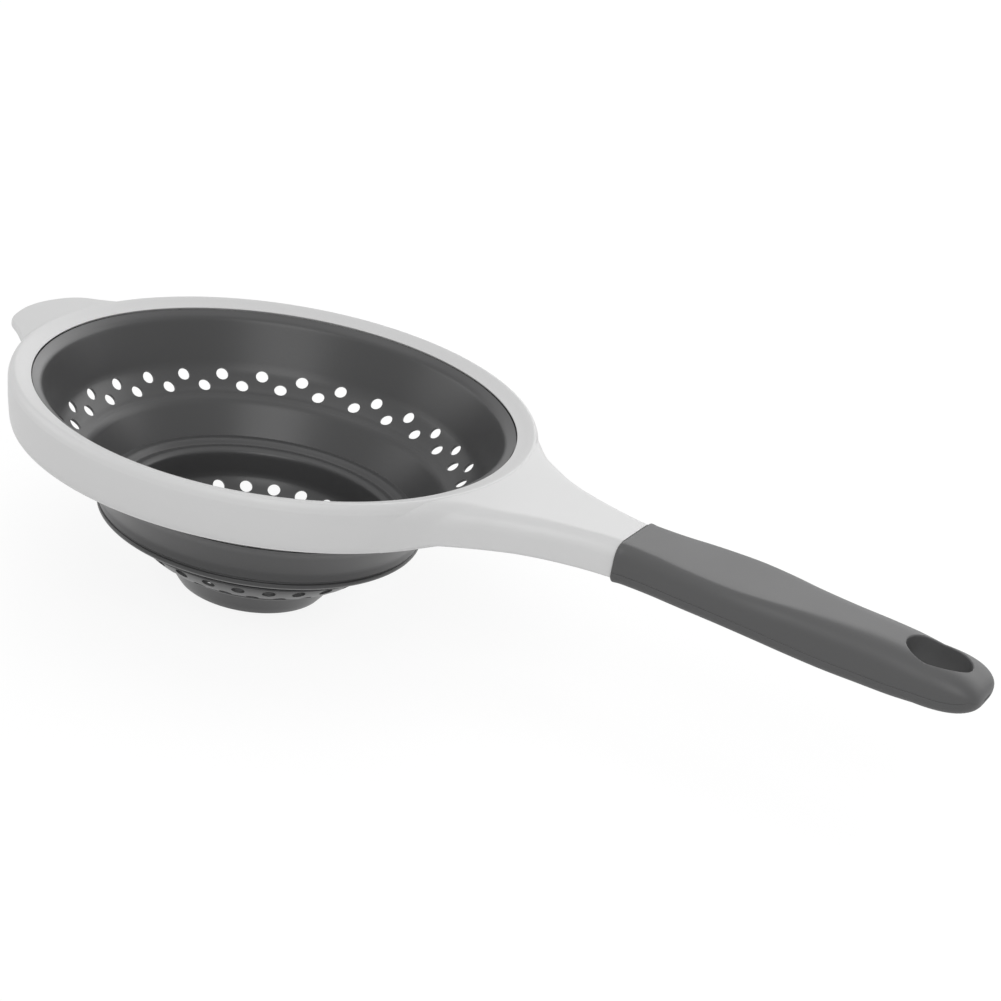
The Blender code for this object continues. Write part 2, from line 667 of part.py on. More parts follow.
def build():
    """Make every piece, and gather each moving tier under an empty on the bowl's axis."""
    clear_scene()
    frame_plastic = plastic("frame_plastic", (0.66, 0.66, 0.66), 0.38)
    silicone = plastic("silicone", (0.085, 0.085, 0.085), 0.45)
    soft_grip = plastic("soft_grip", (0.13, 0.13, 0.13), 0.6)

    creases = bowl_creases()
    cutter = ring_cutter()
    ring_frame(frame_plastic)
    handle_neck(cutter, frame_plastic)
    helper_tab(cutter, frame_plastic)
    grip(soft_grip)
    rim_wall(creases, silicone)

    upper = (creases["upper_band_top"], creases["upper_band_end"])
    upper_holes = band_holes("upper_hole_cutters", *upper, UPPER_ROW_COUNT, UPPER_ROW_START)
    fold_band("upper_fold_band", *upper, upper_holes, BOWL_SEGMENTS, silicone)
    lower = (creases["lower_band_top"], creases["lower_band_end"])
    lower_holes = band_holes("lower_hole_cutters", *lower, LOWER_ROW_COUNT, LOWER_ROW_START)
    lower_band = fold_band("lower_fold_band", *lower, lower_holes, LOWER_SEGMENTS, silicone)
    tiers = {
        "middle_tier": [middle_wall(creases, silicone), lower_wall(creases, silicone), lower_band],
        "foot_tier": [foot_cup(creases, silicone)],
    }
    for name, pieces in tiers.items():
        carrier = bpy.data.objects.new(name, None)
        bpy.context.collection.objects.link(carrier)
        for piece in pieces:
            piece.parent = carrier


build()
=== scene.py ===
"""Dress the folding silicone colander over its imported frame, and light it for a studio picture.

Lengths are in metres in the frame's own axes: +X runs along the handle and +Z up out of the bowl,
from an origin at the centre of the foot's underside. Angles are in degrees.
"""

from __future__ import annotations

import logging
import math
from dataclasses import dataclass
from enum import Enum
from typing import Sequence

import bmesh
import bpy
from bmesh.types import BMesh, BMVert
from bpy.types import Camera, Light, Material, Mesh, Node, NodeSocket, NodeTree, Object
from mathutils import Matrix, Vector
from mathutils.bvhtree import BVHTree


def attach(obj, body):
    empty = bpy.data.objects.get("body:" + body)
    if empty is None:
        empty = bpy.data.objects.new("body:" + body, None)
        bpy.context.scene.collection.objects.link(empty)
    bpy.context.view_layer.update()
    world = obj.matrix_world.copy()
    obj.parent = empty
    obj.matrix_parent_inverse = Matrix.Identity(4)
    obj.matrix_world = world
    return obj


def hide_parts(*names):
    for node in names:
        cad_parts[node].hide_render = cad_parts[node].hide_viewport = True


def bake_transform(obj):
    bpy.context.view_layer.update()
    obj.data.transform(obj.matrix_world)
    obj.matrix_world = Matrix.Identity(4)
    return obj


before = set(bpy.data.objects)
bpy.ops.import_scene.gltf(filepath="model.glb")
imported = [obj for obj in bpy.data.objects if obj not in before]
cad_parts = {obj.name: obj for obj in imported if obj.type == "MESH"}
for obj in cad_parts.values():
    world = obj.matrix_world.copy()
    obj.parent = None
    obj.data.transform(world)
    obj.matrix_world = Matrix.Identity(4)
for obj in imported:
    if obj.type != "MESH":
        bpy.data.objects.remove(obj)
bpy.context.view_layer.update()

LOG = logging.getLogger("colander")

MM = 0.001
NEAR_ZERO = 1e-7
SHARP_ANGLE = 38.0
CURVE_STEPS = 4
FINE_CURVE_STEPS = 5
DRILL_SEGMENTS = 24
FLOW_SCALE_SHARE = 0.02
# The most that a rounded corner takes of its side, or of a box's height and half width.
MOST_OF_SIDE = 0.48
MOST_OF_HEIGHT = 0.47
MOST_OF_HALF_WIDTH = 0.9

Point = tuple[float, float]
Triple = tuple[float, float, float]
Path = Sequence[Point]


def mm(*lengths: float) -> tuple:
    """Return lengths that are given in millimetres."""
    return tuple(length * MM for length in lengths)


class Body(Enum):
    """The moving bodies of the frame, by their names there."""

    FRAME = "frame"
    MIDDLE = "middle_tier"
    FOOT = "foot_tier"


class Ends(Enum):
    """How a skin's ends are closed."""

    CAPPED = "both ends flat"
    BENT_START = "a bent start, closed by strips across it, and a flat end"
    OPEN = "both ends open"


def blended(first: float, second: float, share: float) -> float:
    """Return the value that lies a share of the way from first to second."""
    return first + (second - first) * share


def quarter_turn(steps: int) -> list[Point]:
    """Return the sine and the cosine at even steps of a quarter turn, both ends included."""
    angles = [math.radians(90.0 * step / steps) for step in range(steps + 1)]
    return [(math.sin(angle), math.cos(angle)) for angle in angles]


def eased(share: float) -> float:
    """Return a share from 0 to 1 with a smooth start and end."""
    share = min(max(share, 0.0), 1.0)
    return share * share * (3.0 - 2.0 * share)


def softened(corners: Sequence[Triple], steps: int = 5) -> list[Point]:
    """Round the corners of a section.

    Args:
        corners: Points (radius, height, reach); an arc starts and ends a reach from its corner.
        steps: Stretches in each arc.

    Returns:
        The outline's points, with corners of no reach kept sharp.
    """
    points: list[Point] = []
    for index, (radius, height, reach) in enumerate(corners):
        corner = Vector((radius, height))
        if reach <= 0.0:
            points.append((radius, height))
            continue
        before = Vector(corners[index - 1][:2]) - corner
        after = Vector(corners[(index + 1) % len(corners)][:2]) - corner
        start = corner + before.normalized() * min(reach, before.length * MOST_OF_SIDE)
        end = corner + after.normalized() * min(reach, after.length * MOST_OF_SIDE)
        for step in range(steps + 1):
            share = step / steps
            point = start.lerp(corner, share).lerp(corner.lerp(end, share), share)
            points.append((point.x, point.y))
    return points


def curve_through(points: Sequence[Sequence[float]], steps: int = CURVE_STEPS) -> list[tuple[float, ...]]:
    """Run a smooth curve through points of any dimension.

    Args:
        points: The points that the curve passes.
        steps: Stretches of the curve between each two points.

    Returns:
        Points along the curve, with both ends of the given points.
    """
    padded = [points[0], *points, points[-1]]
    curve: list[tuple[float, ...]] = []
    for p0, p1, p2, p3 in zip(padded[:-3], padded[1:-2], padded[2:-1], padded[3:]):
        for step in range(steps):
            t = step / steps
            curve.append(tuple(
                0.5 * (2 * b + (c - a) * t + (2 * a - 5 * b + 4 * c - d) * t * t
                       + (3 * b - a - 3 * c + d) * t ** 3)
                for a, b, c, d in zip(p0, p1, p2, p3)
            ))
    curve.append(tuple(points[-1]))
    return curve


def along(start: Point, end: Point, shares: Path) -> list[Point]:
    """Return points between two section points, by shares of the draw and of the drop."""
    return [(blended(start[0], end[0], draw), blended(start[1], end[1], drop)) for draw, drop in shares]


def outside_of(path: Path, thickness: float) -> list[Point]:
    """Offset an inner path outwards, square to it, and end it level with the path.

    Args:
        path: Inner points from the top down.
        thickness: The wall's thickness.

    Returns:
        As many outer points, from the top down.
    """
    points: list[Point] = []
    for index, (radius, height) in enumerate(path):
        before, after = path[max(index - 1, 0)], path[min(index + 1, len(path) - 1)]
        run, drop = before[0] - after[0], before[1] - after[1]
        length = math.hypot(run, drop)
        if index in (0, len(path) - 1):
            points.append((radius + thickness * length / drop, height))
        else:
            points.append((radius + thickness * drop / length, height - thickness * run / length))
    return points


def radius_on(path: Path, height: float) -> float:
    """Return the radius of a falling path at a height, or of the end that lies nearest."""
    for (r0, z0), (r1, z1) in zip(path[:-1], path[1:]):
        if z1 <= height < z0:
            return blended(r0, r1, (z0 - height) / (z0 - z1))
    return path[0][0] if height >= path[0][1] else path[-1][0]


def stretch_of(path: Path, high: float, low: float) -> list[Point]:
    """Return the stretch of a falling path between two heights, ends included."""
    middle = [point for point in path if low + NEAR_ZERO < point[1] < high - NEAR_ZERO]
    return [(radius_on(path, high), high), *middle, (radius_on(path, low), low)]


def inset_line(line: Path, inset: float) -> list[Point]:
    """Move an open plan line to its right.

    Args:
        line: Points (x, y) in order.
        inset: How far each point moves, square to the line.

    Returns:
        The moved points.
    """
    moved: list[Point] = []
    for index, (x, y) in enumerate(line):
        before, after = line[max(index - 1, 0)], line[min(index + 1, len(line) - 1)]
        run = Vector((after[0] - before[0], after[1] - before[1])).normalized()
        moved.append((x + run.y * inset, y - run.x * inset))
    return moved


def linked(name: str, data: Mesh | Light | Camera) -> Object:
    """Put an object with its data into the scene."""
    item = bpy.data.objects.new(name, data)
    bpy.context.scene.collection.objects.link(item)
    return item


def new_object(name: str, bm: BMesh, sharp_angle: float = SHARP_ANGLE) -> Object:
    """Turn a bmesh into a linked object, shaded smooth but for its sharp edges.

    Args:
        name: The piece's name.
        bm: The mesh, which is freed.
        sharp_angle: The least angle of an edge that stays sharp.

    Returns:
        The new object.
    """
    mesh = bpy.data.meshes.new(name)
    bmesh.ops.recalc_face_normals(bm, faces=bm.faces)
    bm.to_mesh(mesh)
    bm.free()
    mesh.shade_smooth()
    mesh.set_sharp_from_angle(angle=math.radians(sharp_angle))
    return linked(name, mesh)


def add_strip(bm: BMesh, first: Sequence[BMVert], second: Sequence[BMVert]) -> None:
    """Add the faces between two closed rows, with triangles where they share a point.

    Args:
        bm: The mesh.
        first: A row of vertices.
        second: A row of as many vertices.
    """
    for corners in zip(first, [*first[1:], first[0]], [*second[1:], second[0]], second):
        unlike = list(dict.fromkeys(corners))
        if len(unlike) > 2:
            bm.faces.new(unlike)


def turned(name: str, outline: Path, segments: int) -> Object:
    """Spin a closed section about the bowl's axis.

    Args:
        name: The piece's name.
        outline: Points (radius, height); a point on the axis becomes a single vertex.
        segments: Segments round the axis.

    Returns:
        The turned object.
    """
    bm = bmesh.new()
    angles = [math.tau * step / segments for step in range(segments)]
    rings = []
    for radius, height in outline:
        if radius < NEAR_ZERO:
            rings.append([bm.verts.new((0.0, 0.0, height))] * segments)
        else:
            places = [(radius * math.cos(angle), radius * math.sin(angle), height) for angle in angles]
            rings.append([bm.verts.new(place) for place in places])
    for first, second in zip(rings, rings[1:] + rings[:1]):
        add_strip(bm, first, second)
    return new_object(name, bm)


def skinned(name: str, loops: Sequence[Sequence[Vector]], ends: Ends = Ends.CAPPED,
            sharp_angle: float = SHARP_ANGLE) -> Object:
    """Skin closed loops of as many points each.

    Args:
        name: The piece's name.
        loops: The loops, in order.
        ends: How the first and the last loop are closed.
        sharp_angle: The least angle of an edge that stays sharp.

    Returns:
        The skinned object.
    """
    bm = bmesh.new()
    rows = [[bm.verts.new(point) for point in loop] for loop in loops]
    for front, back in zip(rows[:-1], rows[1:]):
        add_strip(bm, front, back)
    first = rows[0]
    if ends is Ends.BENT_START:
        for index in range(len(first) // 2 - 1):
            bm.faces.new((first[index], first[index + 1], first[-2 - index], first[-1 - index]))
    elif ends is Ends.CAPPED:
        bm.faces.new(first)
    if ends is not Ends.OPEN:
        bm.faces.new(reversed(rows[-1]))
    return new_object(name, bm, sharp_angle)


def laid(outline: Path, z: float) -> list[Vector]:
    """Lay a plan outline at a height."""
    return [Vector((x, y, z)) for x, y in outline]


def upright(section: Path, x: float) -> list[Vector]:
    """Stand a section (y, z) at a place along the handle."""
    return [Vector((x, y, z)) for y, z in section]


def carve(item: Object, cutter: Object) -> None:
    """Cut one object from another for good, and take the cutter away.

    Args:
        item: The object that is cut.
        cutter: The object whose space is taken out.
    """
    cut = item.modifiers.new("cut", "BOOLEAN")
    cut.operation = "DIFFERENCE"
    cut.solver = "EXACT"
    cut.object = cutter
    evaluated = item.evaluated_get(bpy.context.evaluated_depsgraph_get())
    mesh = bpy.data.meshes.new_from_object(evaluated)
    item.modifiers.remove(cut)
    old = item.data
    item.data = mesh
    mesh.name = old.name
    bpy.data.meshes.remove(old)
    bpy.data.objects.remove(cutter, do_unlink=True)
    mesh.shade_smooth()
    mesh.set_sharp_from_angle(angle=math.radians(SHARP_ANGLE))


def joined(item: Object, *others: Object) -> Object:
    """Merge the meshes of other objects into one, and take the others away.

    Args:
        item: The object that takes the meshes up.
        others: The objects that go into it.

    Returns:
        The first object.
    """
    bm = bmesh.new()
    bm.from_mesh(item.data)
    for other in others:
        bm.from_mesh(other.data)
        bpy.data.objects.remove(other, do_unlink=True)
    bm.to_mesh(item.data)
    bm.free()
    return item


def drill_bits(name: str, places: Sequence[Matrix], radius: float, depth: float) -> Object:
    """Make round cutters.

    Args:
        name: The object's name.
        places: Where the cutters' middles lie; each cutter runs along its own Z.
        radius: The cutters' radius.
        depth: Their length.

    Returns:
        All the cutters as one object.
    """
    bm = bmesh.new()
    for place in places:
        bmesh.ops.create_cone(
            bm, cap_ends=True, segments=DRILL_SEGMENTS, radius1=radius, radius2=radius, depth=depth,
            matrix=place,
        )
    return new_object(name, bm)


class NodeWriter:
    """Adds nodes to a tree and wires them, one short call each."""

    def __init__(self, tree: NodeTree) -> None:
        """Keep the tree that the nodes go into."""
        self.tree = tree

    def add(self, kind: str, **settings: object) -> Node:
        """Add a node and set its properties, and its sockets where a name is a socket's.

        Args:
            kind: The node's type name.
            settings: Property names, or socket names with spaces written as underscores.

        Returns:
            The node.
        """
        node = self.tree.nodes.new(kind)
        for key, value in settings.items():
            label = key.replace("_", " ")
            if label in node.inputs:
                node.inputs[label].default_value = value
            else:
                setattr(node, key, value)
        return node

    def join(self, source: NodeSocket, target: NodeSocket) -> None:
        """Wire one socket to another."""
        self.tree.links.new(source, target)

    def sum(self, kind: str, first: NodeSocket | float, second: NodeSocket | float) -> NodeSocket:
        """Add a maths node.

        Args:
            kind: The operation.
            first: A socket or a number.
            second: A socket or a number.

        Returns:
            The result's socket.
        """
        node = self.add("ShaderNodeMath", operation=kind)
        for value, socket in zip((first, second), node.inputs):
            if isinstance(value, NodeSocket):
                self.join(value, socket)
            else:
                socket.default_value = value
        return node.outputs[0]


def moulded_surface_group() -> NodeTree:
    """Build what a spark-eroded mould leaves on plastic and rubber: fine grain, uneven tone and sheen.

    Returns:
        A group with the inputs Color, Drift, Level, Spread and Grain Size, and the outputs Color,
        Roughness and Height.
    """
    tree = bpy.data.node_groups.new("Moulded surface", "ShaderNodeTree")
    for way, labels in (("INPUT", ("Color", "Drift", "Level", "Spread", "Grain Size")),
                        ("OUTPUT", ("Color", "Roughness", "Height"))):
        for label in labels:
            kind = "NodeSocketColor" if label == "Color" else "NodeSocketFloat"
            tree.interface.new_socket(label, in_out=way, socket_type=kind)
    write = NodeWriter(tree)
    given, result = write.add("NodeGroupInput").outputs, write.add("NodeGroupOutput").inputs
    place = write.add("ShaderNodeTexCoord")
    scale = write.sum("DIVIDE", 1.0, given["Grain Size"])
    pits = write.add("ShaderNodeTexNoise", Detail=2.0, Roughness=0.55)
    flow = write.add("ShaderNodeTexNoise", Detail=3.0, Roughness=0.5)
    for noise, size in ((pits, scale), (flow, write.sum("MULTIPLY", scale, FLOW_SCALE_SHARE))):
        write.join(place.outputs["Object"], noise.inputs["Vector"])
        write.join(size, noise.inputs["Scale"])
    uneven = write.sum("SUBTRACT", flow.outputs["Fac"], 0.5)
    gain = write.sum("ADD", 1.0, write.sum("MULTIPLY", uneven, given["Drift"]))
    sheen = write.sum("ADD", given["Level"], write.sum("MULTIPLY", uneven, given["Spread"]))
    tone = write.add("ShaderNodeVectorMath", operation="SCALE")
    write.join(given["Color"], tone.inputs[0])
    write.join(gain, tone.inputs["Scale"])
    write.join(tone.outputs["Vector"], result["Color"])
    write.join(sheen, result["Roughness"])
    write.join(pits.outputs["Fac"], result["Height"])
    return tree


@dataclass(frozen=True)
class Finish:
    """One moulded finish: its colour, its sheen and the grain that its mould gives it."""

    name: str
    slot: str
    colour: Triple
    roughness: float
    roughness_spread: float
    specular: float
    grain_size: float
    grain_depth: float
    drift: float

    def material(self, surface: NodeTree) -> Material:
        """Build the finish's material.

        Args:
            surface: The node group that all the mouldings share.

        Returns:
            The material.
        """
        material = bpy.data.materials.new(self.name)
        material.use_nodes = True
        write = NodeWriter(material.node_tree)
        shader = material.node_tree.nodes["Principled BSDF"].inputs
        shader["Specular IOR Level"].default_value = self.specular
        group = write.add(
            "ShaderNodeGroup", node_tree=surface, Color=(*self.colour, 1.0), Drift=self.drift,
            Level=self.roughness, Spread=self.roughness_spread, Grain_Size=self.grain_size,
        )
        bump = write.add("ShaderNodeBump", Strength=1.0, Distance=self.grain_depth)
        write.join(group.outputs["Color"], shader["Base Color"])
        write.join(group.outputs["Roughness"], shader["Roughness"])
        write.join(group.outputs["Height"], bump.inputs["Height"])
        write.join(bump.outputs["Normal"], shader["Normal"])
        return material


class Moulding(Enum):
    """The three mouldings that the colander is made of."""

    FRAME = Finish("light grey frame plastic", "frame_plastic", (0.66, 0.66, 0.66), 0.42, 0.06, 0.5,
                   0.5 * MM, 0.008 * MM, 0.03)
    BOWL = Finish("dark grey silicone", "silicone", (0.060, 0.060, 0.061), 0.34, 0.08, 0.42,
                  0.7 * MM, 0.012 * MM, 0.08)
    GRIP = Finish("soft grip rubber", "soft_grip", (0.071, 0.071, 0.072), 0.50, 0.08, 0.5,
                  0.55 * MM, 0.016 * MM, 0.08)


class Workshop:
    """Gives each piece its finish, its body and the frame's node that it stands for."""

    def __init__(self) -> None:
        """Build the shared surface and the three materials."""
        surface = moulded_surface_group()
        self.materials = {moulding: moulding.value.material(surface) for moulding in Moulding}

    def finish(self, item: Object, moulding: Moulding, nodes: Sequence[str]) -> None:
        """Put a piece's material on and record what it replaces.

        Args:
            item: The piece.
            moulding: Which moulding it belongs to.
            nodes: The frame's nodes that it stands for.
        """
        item.data.materials.clear()
        item.data.materials.append(self.materials[moulding])
        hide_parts(*nodes)
        LOG.info("%s: %d faces, for %s", item.name, len(item.data.polygons), ", ".join(nodes))

    def fit(self, item: Object, moulding: Moulding, body: Body, *nodes: str) -> None:
        """Finish a stiff piece and let it ride on its body."""
        self.finish(item, moulding, nodes)
        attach(item, body.value)

    def stretch(self, item: Object, moulding: Moulding, band: FoldBand) -> None:
        """Finish a folding piece and bake its place into its mesh, leaving it on no body."""
        self.finish(item, moulding, (band.node,))
        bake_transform(item)


@dataclass(frozen=True)
class FoldBand:
    """One thin band of the bowl that turns inside out, between the crease above and the crease below."""

    name: str
    node: str
    bodies: tuple[Body, Body]
    top: Point
    end: Point
    row_count: int
    row_start: float


@dataclass
class RingFrame:
    """The crowned ring with its hanging skirt, open below."""

    opening_radius: float = 88.0 * MM
    opening_height: float = 75.0 * MM
    width: float = 8.0 * MM
    crown_rise: float = 2.5 * MM
    lip: float = 1.2 * MM
    lip_undercut: float = 0.5 * MM
    skirt_depth: float = 16.6 * MM
    skirt_draft: float = 1.9 * MM
    wall: float = 2.2 * MM
    edge_round: float = 0.5 * MM
    segments: int = 224
    crown_shares: Path = (
        (0.0, -0.12), (0.02, -0.04), (0.12, 0.06), (0.30, 0.27), (0.50, 0.53), (0.64, 0.69),
        (0.75, 0.785), (0.84, 0.72), (0.915, 0.42), (0.965, 0.02), (1.0, -0.60),
    )
    skirt_shares: Path = ((0.0, 0.10), (0.10, 0.25), (0.46, 0.62), (1.0, 1.0))
    peak_share: float = 0.75

    @property
    def outer_radius(self) -> float:
        """The radius of the ring's outer edge."""
        return self.opening_radius + self.width

    def crown(self) -> list[Point]:
        """Return the crown's section, from the opening outwards."""
        return [
            (self.opening_radius + self.width * across, self.opening_height + self.crown_rise * rise)
            for across, rise in curve_through(self.crown_shares, FINE_CURVE_STEPS)
        ]

    def skirt(self) -> list[Point]:
        """Return the skirt's outer face, from the top down."""
        top = (self.outer_radius, self.opening_height)
        bottom = (self.outer_radius - self.skirt_draft, self.opening_height - self.skirt_depth)
        return along(top, bottom, curve_through(self.skirt_shares))

    def radius_at(self, height: float) -> float:
        """Return the radius of the ring's outer face at a height."""
        inner = self.opening_radius + self.width * self.peak_share
        return radius_on([*(point for point in self.crown() if point[0] > inner), *self.skirt()], height)

    def outline(self) -> list[Point]:
        """Return the ring's section, from its inner edge over the crown and down the skirt."""
        crown, skirt = self.crown(), self.skirt()
        bottom_radius, bottom_height = skirt[-1]
        underside = self.opening_height - self.lip
        inside = softened((
            (bottom_radius, bottom_height, self.edge_round),
            (bottom_radius - self.wall, bottom_height, self.edge_round),
            (self.outer_radius - self.wall, underside, self.edge_round),
            (self.opening_radius + self.lip_undercut, underside, self.edge_round * 0.5), (*crown[0], 0.0),
        ))
        return crown + skirt[:-1] + inside[:-1]

    def build(self, shop: Workshop) -> None:
        """Make the ring and fit it."""
        ring = turned("frame_ring", self.outline(), self.segments)
        shop.fit(ring, Moulding.FRAME, Body.FRAME, "ring_frame")


def box_section(half_width: float, top: float, bottom: float, upper: Point, lower: Point, steps: int,
                flat_pieces: int = 1, groove: float = 0.0, fullness: float = 2.0) -> list[Point]:
    """Draw a rounded rectangle in the YZ plane.

    Args:
        half_width: Half its width.
        top: The height of its top.
        bottom: The height of its underside.
        upper: The width and the height of its upper corners.
        lower: The width and the height of its lower corners.
        steps: Stretches in each corner.
        flat_pieces: Stretches along its top and along its underside.
        groove: The depth of a line pressed into both sides just above the lower corners.
        fullness: The power of the corners' curve, 2 for a round one and more for a squarer one.

    Returns:
        Points (y, z), counter-clockwise seen from the handle's end.
    """
    tall = (top - bottom) * MOST_OF_HEIGHT
    wide = half_width * MOST_OF_HALF_WIDTH
    arcs: list[list[Point]] = []
    corners = ((upper, top, 1), (upper, top, -1), (lower, bottom, -1), (lower, bottom, 1))
    for quarter, (corner, level, side) in enumerate(corners):
        reach, rise = min(corner[0], wide), min(corner[1], tall)
        y = side * (half_width - reach)
        z = level - rise if level == top else level + rise
        arc = []
        for step in range(steps + 1):
            angle = math.radians(90.0 * (quarter + step / steps))
            parts = (math.cos(angle), math.sin(angle))
            out, up = (math.copysign(abs(part) ** (2.0 / fullness), part) for part in parts)
            arc.append((y + reach * out, z + rise * up))
        arcs.append(arc)
    line = bottom + min(lower[1], tall) + groove * 2
    points: list[Point] = []
    for index, arc in enumerate(arcs):
        points += arc
        (y0, z0), (y1, _) = arc[-1], arcs[(index + 1) % len(arcs)][0]
        if index % 2 == 0:
            points += [(blended(y0, y1, step / flat_pieces), z0) for step in range(1, flat_pieces)]
        elif groove > 0.0:
            rise = math.copysign(groove, y0)
            points += [(y0, line - rise), (y0 - rise, line), (y0, line + rise)]
    return points


@dataclass
class HandleNeck:
    """The neck that spreads from the grip into the ring, ribbed below, and the tang in the grip."""

    ring: RingFrame
    spread_angle: float = 34.0
    reach: float = 50.0 * MM
    half_width: float = 13.9 * MM
    depth: float = 12.8 * MM
    wall: float = 2.4 * MM
    corner: float = 5.4 * MM
    root_corner: float = 10.0 * MM
    corner_run: float = 0.85
    lower_corner: float = 1.0 * MM
    root_sink: float = 0.6 * MM
    root_blend: float = 15.0 * MM
    root_rise: float = 1.75 * MM
    root_edge_share: float = 0.62
    root_corner_spread: float = 1.5
    corner_steps: int = 10
    flat_pieces: int = 24
    end_block: float = 8.0 * MM
    rib: float = 1.8 * MM
    pocket_count: int = 4
    pocket_corner: float = 1.5 * MM
    tang_length: float = 93.0 * MM
    tang_half_width: float = 9.5 * MM
    tang_depth: float = 8.5 * MM
    tang_sink: float = 3.0 * MM
    flare_shares: Sequence[Triple] = (
        (0.0, 1.0, 1.29), (0.08, 0.817, 1.17), (0.15, 0.67, 1.09), (0.207, 0.587, 1.06),
        (0.285, 0.487, 1.04), (0.365, 0.386, 1.03), (0.437, 0.31, 1.02), (0.506, 0.245, 1.01),
        (0.567, 0.202, 1.0), (0.63, 0.156, 1.0), (0.70, 0.114, 1.0), (0.80, 0.063, 1.0),
        (0.90, 0.025, 1.0), (1.0, 0.0, 1.0),
    )

    @property
    def end_x(self) -> float:
        """Where the neck ends and the grip begins."""
        return self.ring.outer_radius + self.reach

    def stations(self) -> list[tuple[float, float, float, float]]:
        """Return (run, edge x, half width, depth) along the neck, from the ring to the grip."""
        spread = math.radians(self.spread_angle)
        root_x = self.ring.outer_radius * math.cos(spread)
        root_width = self.ring.outer_radius * math.sin(spread)
        rows = []
        for run, flare, deep in curve_through(self.flare_shares):
            width = blended(self.half_width, root_width, flare)
            rows.append((run, blended(root_x, self.end_x, run), width, self.depth * deep))
        return rows

    def bowed_x(self, run: float, edge_x: float, share: float) -> float:
        """Bend a station round the ring at the root, and flatten it towards the grip.

        Args:
            run: The station's share of the neck's run.
            edge_x: Where its edges lie.
            share: The point's share of the half width, from 0 at the middle.

        Returns:
            The point's x.
        """
        radius = self.ring.outer_radius
        half = radius * math.sin(math.radians(self.spread_angle))
        middle_x = blended(radius, self.end_x, run)
        full = radius - math.sqrt(radius * radius - half * half)
        bow = radius - math.sqrt(radius * radius - (share * half) ** 2)
        return blended(middle_x, edge_x, bow / full)

    def loops(self) -> list[list[Vector]]:
        """Return the neck's loops, the first of them sunk into the ring."""
        top = self.ring.opening_height
        loops = []
        for run, edge_x, width, deep in self.stations():
            loop = []
            corner = blended(self.root_corner, self.corner, eased(run / self.corner_run))
            spread = blended(self.root_corner_spread, 1.0, eased(run / self.corner_run))
            upper, lower = (corner * spread, corner), (self.lower_corner, self.lower_corner)
            section = box_section(width, top, top - deep, upper, lower, self.corner_steps, self.flat_pieces)
            for y, z in section:
                share = min(abs(y) / width, 1.0)
                x = self.bowed_x(run, edge_x, share)
                reach = math.hypot(x, y)
                near = max(0.0, 1.0 - (reach - self.ring.outer_radius) / self.root_blend) ** 2
                middle = 1.0 - eased((share - self.root_edge_share) / (1.0 - self.root_edge_share))
                z += self.root_rise * near * middle * eased((z - top + corner) / corner)
                drawn = (reach - (self.ring.outer_radius - self.ring.radius_at(z)) * near) / reach
                loop.append(Vector((x * drawn, y * drawn, z)))
            loops.append(loop)
        sunk = [(point, 1.0 - self.root_sink / math.hypot(point.x, point.y)) for point in loops[0]]
        return [[Vector((point.x * drawn, point.y * drawn, point.z)) for point, drawn in sunk], *loops]

    def width_at(self, x: float) -> float:
        """Find how wide the neck is at a place.

        Args:
            x: The place along the handle.

        Returns:
            Half the neck's width there.
        """
        rows = self.stations()
        for (_, x0, w0, _), (_, x1, w1, _) in zip(rows[:-1], rows[1:]):
            if x <= x1:
                return blended(w0, w1, (x - x0) / (x1 - x0))
        return rows[-1][2]

    def pockets(self) -> Object:
        """Make the cutters for the pockets under the neck."""
        heights = (self.ring.opening_height - self.depth * 2, self.ring.opening_height - self.wall)
        start = self.ring.outer_radius + self.wall
        pitch = (self.end_x - self.end_block - start + self.rib) / self.pocket_count
        cutters = []
        for index in range(self.pocket_count):
            near = start + pitch * index
            far = near + pitch - self.rib
            near_width, far_width = self.width_at(near) - self.wall, self.width_at(far) - self.wall
            plan = ((near, near_width), (near, -near_width), (far, -far_width), (far, far_width))
            outline = softened([(*corner, self.pocket_corner) for corner in plan], 4)
            cutters.append(skinned(f"neck_pocket_{index}", [laid(outline, z) for z in heights]))
        return joined(*cutters)

    def tang(self) -> Object:
        """Make the bar that runs inside the grip."""
        top = self.ring.opening_height - self.tang_sink
        bottom = top - self.tang_depth
        corner = (self.rib, self.rib)
        section = box_section(self.tang_half_width, top, bottom, corner, corner, 3)
        places = (self.end_x - self.rib, self.end_x + self.tang_length)
        return skinned("neck_tang", [upright(section, x) for x in places])

    def build(self, shop: Workshop) -> None:
        """Make the neck with its tang and fit it."""
        neck = skinned("frame_neck", self.loops(), Ends.BENT_START)
        carve(neck, self.pockets())
        joined(neck, self.tang())
        shop.fit(neck, Moulding.FRAME, Body.FRAME, "handle_neck")


